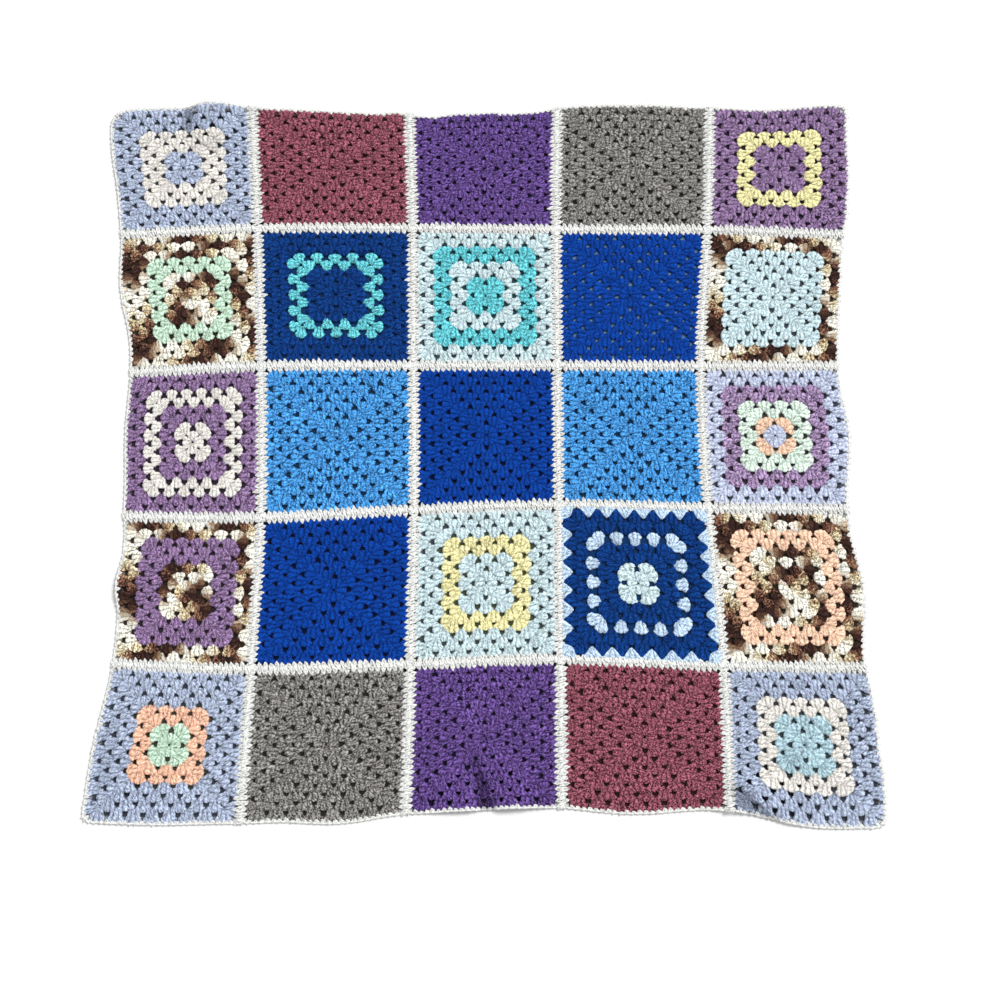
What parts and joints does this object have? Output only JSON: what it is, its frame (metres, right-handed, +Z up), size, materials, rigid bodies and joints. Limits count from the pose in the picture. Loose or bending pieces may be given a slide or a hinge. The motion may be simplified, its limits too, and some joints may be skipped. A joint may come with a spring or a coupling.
{
  "type": "granny square blanket",
  "caption": "Crocheted patchwork blanket of joined granny squares in mixed colours with an ivory edge round, lying flat.",
  "frame": {"origin": "middle of the blanket's box, on the surface it lies on", "axes": "+Z up from the cloth's face, +Y towards the head edge, +X to the right along the head edge"},
  "size_m": [0.9324, 0.9106, 0.0137],
  "materials": {
    "yarn_periwinkle": "matt acrylic yarn, crocheted in clusters of three double crochet",
    "yarn_dusty_rose": "matt acrylic yarn, crocheted in clusters of three double crochet",
    "yarn_deep_purple": "matt acrylic yarn, crocheted in clusters of three double crochet",
    "yarn_grey": "matt acrylic yarn, crocheted in clusters of three double crochet",
    "yarn_lilac_purple": "matt acrylic yarn, crocheted in clusters of three double crochet",
    "yarn_variegated_brown": "matt acrylic yarn, crocheted in clusters of three double crochet",
    "yarn_navy": "matt acrylic yarn, crocheted in clusters of three double crochet",
    "yarn_ice_blue": "matt acrylic yarn, crocheted in clusters of three double crochet",
    "yarn_royal_blue": "matt acrylic yarn, crocheted in clusters of three double crochet",
    "yarn_azure": "matt acrylic yarn, crocheted in clusters of three double crochet",
    "yarn_pale_lilac": "matt acrylic yarn, crocheted in clusters of three double crochet"
  },
  "bodies": {
    "root": {"square_r1c1": "yarn_periwinkle", "square_r1c2": "yarn_dusty_rose", "square_r1c3": "yarn_deep_purple", "square_r1c4": "yarn_grey", "square_r1c5": "yarn_lilac_purple", "square_r2c1": "yarn_variegated_brown", "square_r2c2": "yarn_navy", "square_r2c3": "yarn_ice_blue", "square_r2c4": "yarn_royal_blue", "square_r2c5": "yarn_variegated_brown", "square_r3c1": "yarn_lilac_purple", "square_r3c2": "yarn_azure", "square_r3c3": "yarn_royal_blue", "square_r3c4": "yarn_azure", "square_r3c5": "yarn_periwinkle", "square_r4c1": "yarn_variegated_brown", "square_r4c2": "yarn_royal_blue", "square_r4c3": "yarn_ice_blue", "square_r4c4": "yarn_pale_lilac", "square_r4c5": "yarn_variegated_brown", "square_r5c1": "yarn_periwinkle", "square_r5c2": "yarn_grey", "square_r5c3": "yarn_deep_purple", "square_r5c4": "yarn_dusty_rose", "square_r5c5": "yarn_periwinkle"}
  },
  "joints": []
}
